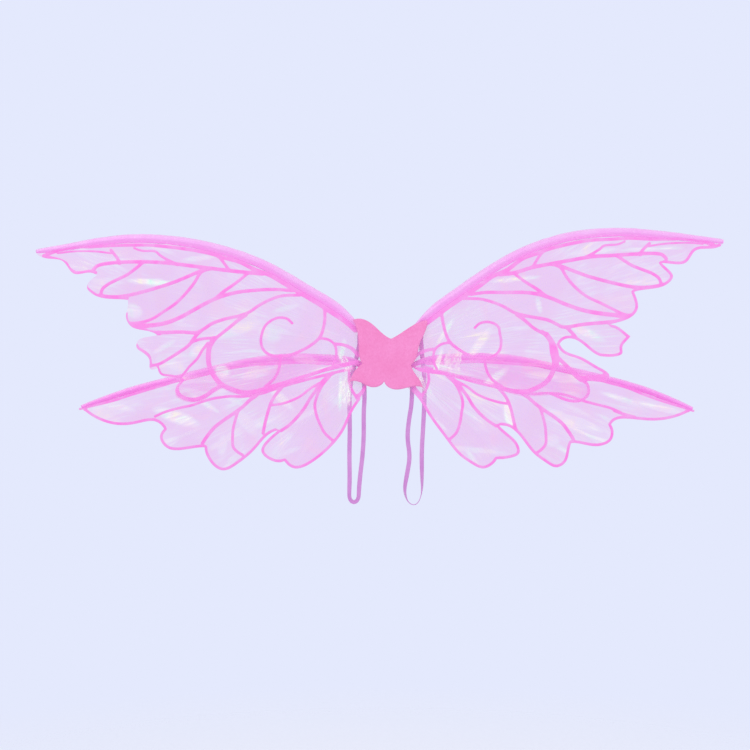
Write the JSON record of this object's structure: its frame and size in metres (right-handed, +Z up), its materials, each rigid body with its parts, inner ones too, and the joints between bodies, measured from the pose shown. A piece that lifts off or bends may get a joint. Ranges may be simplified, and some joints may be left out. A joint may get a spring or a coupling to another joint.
{
  "type": "fairy wings",
  "caption": "Wearable wings of clear iridescent film with printed pink veins, wired leading edges, a felt butterfly over the hub and elastic shoulder loops.",
  "frame": {"origin": "on the rear face of the back pad, behind the middle of the felt butterfly", "axes": "+Z up as worn, +X to the right seen from behind the wearer, +Y towards the wearer's back"},
  "size_m": [1.1004, 0.0283, 0.4457],
  "materials": {
    "wing_film": "clear lilac iridescent film",
    "sleeve_film": "pale pink translucent band",
    "vein_ink": "printed pink",
    "felt": "pressed felt",
    "elastic": "flat woven elastic",
    "pad_foam": "fabric-faced foam",
    "hub_plastic": "moulded",
    "coated_wire": "white coated",
    "cap_plastic": "moulded",
    "steel": "nickel plated"
  },
  "bodies": {
    "hub": {"back_pad": "pad_foam", "back_plate": "hub_plastic", "hub_boss": "hub_plastic", "hub_screws": "steel", "felt_butterfly": "felt", "left_hinge_pin": "steel", "left_shoulder_strap": "elastic", "left_upper_strap_tab": "elastic", "left_lower_strap_tab": "elastic", "right_hinge_pin": "steel", "right_shoulder_strap": "elastic", "right_upper_strap_tab": "elastic", "right_lower_strap_tab": "elastic"},
    "left_leaf": {"left_hinge_leaf": "hub_plastic", "left_pivot_rivets": "steel", "left_pivot_spacers": "steel"},
    "upper_left_wing": {"upper_left_film": "wing_film", "upper_left_sleeve": "sleeve_film", "upper_left_rod": "coated_wire", "upper_left_tip_cap": "cap_plastic", "upper_left_root_eye": "steel"},
    "lower_left_wing": {"lower_left_film": "wing_film", "lower_left_sleeve": "sleeve_film", "lower_left_rod": "coated_wire", "lower_left_tip_cap": "cap_plastic", "lower_left_root_eye": "steel"},
    "right_leaf": {"right_hinge_leaf": "hub_plastic", "right_pivot_rivets": "steel", "right_pivot_spacers": "steel"},
    "upper_right_wing": {"upper_right_film": "wing_film", "upper_right_sleeve": "sleeve_film", "upper_right_rod": "coated_wire", "upper_right_tip_cap": "cap_plastic", "upper_right_root_eye": "steel"},
    "lower_right_wing": {"lower_right_film": "wing_film", "lower_right_sleeve": "sleeve_film", "lower_right_rod": "coated_wire", "lower_right_tip_cap": "cap_plastic", "lower_right_root_eye": "steel"}
  },
  "joints": [
    {"name": "left_fold", "type": "hinge", "parent": "hub", "child": "left_leaf", "pos_m": [-0.015, -0.014, -0.011], "axis": [0, 0, 1], "range_deg": [0, 75], "deforming": ["felt_butterfly"]},
    {"name": "upper_left_swing", "type": "hinge", "parent": "left_leaf", "child": "upper_left_wing", "pos_m": [-0.031, -0.01175, 0.028], "axis": [0, 1, 0], "range_deg": [-10, 25]},
    {"name": "lower_left_swing", "type": "hinge", "parent": "left_leaf", "child": "lower_left_wing", "pos_m": [-0.024, -0.008, -0.024], "axis": [0, 1, 0], "range_deg": [-15, 20]},
    {"name": "right_fold", "type": "hinge", "parent": "hub", "child": "right_leaf", "pos_m": [0.015, -0.014, -0.011], "axis": [0, 0, -1], "range_deg": [0, 75], "deforming": ["felt_butterfly"]},
    {"name": "upper_right_swing", "type": "hinge", "parent": "right_leaf", "child": "upper_right_wing", "pos_m": [0.031, -0.01175, 0.028], "axis": [0, -1, 0], "range_deg": [-10, 25]},
    {"name": "lower_right_swing", "type": "hinge", "parent": "right_leaf", "child": "lower_right_wing", "pos_m": [0.024, -0.008, -0.024], "axis": [0, -1, 0], "range_deg": [-15, 20]}
  ]
}
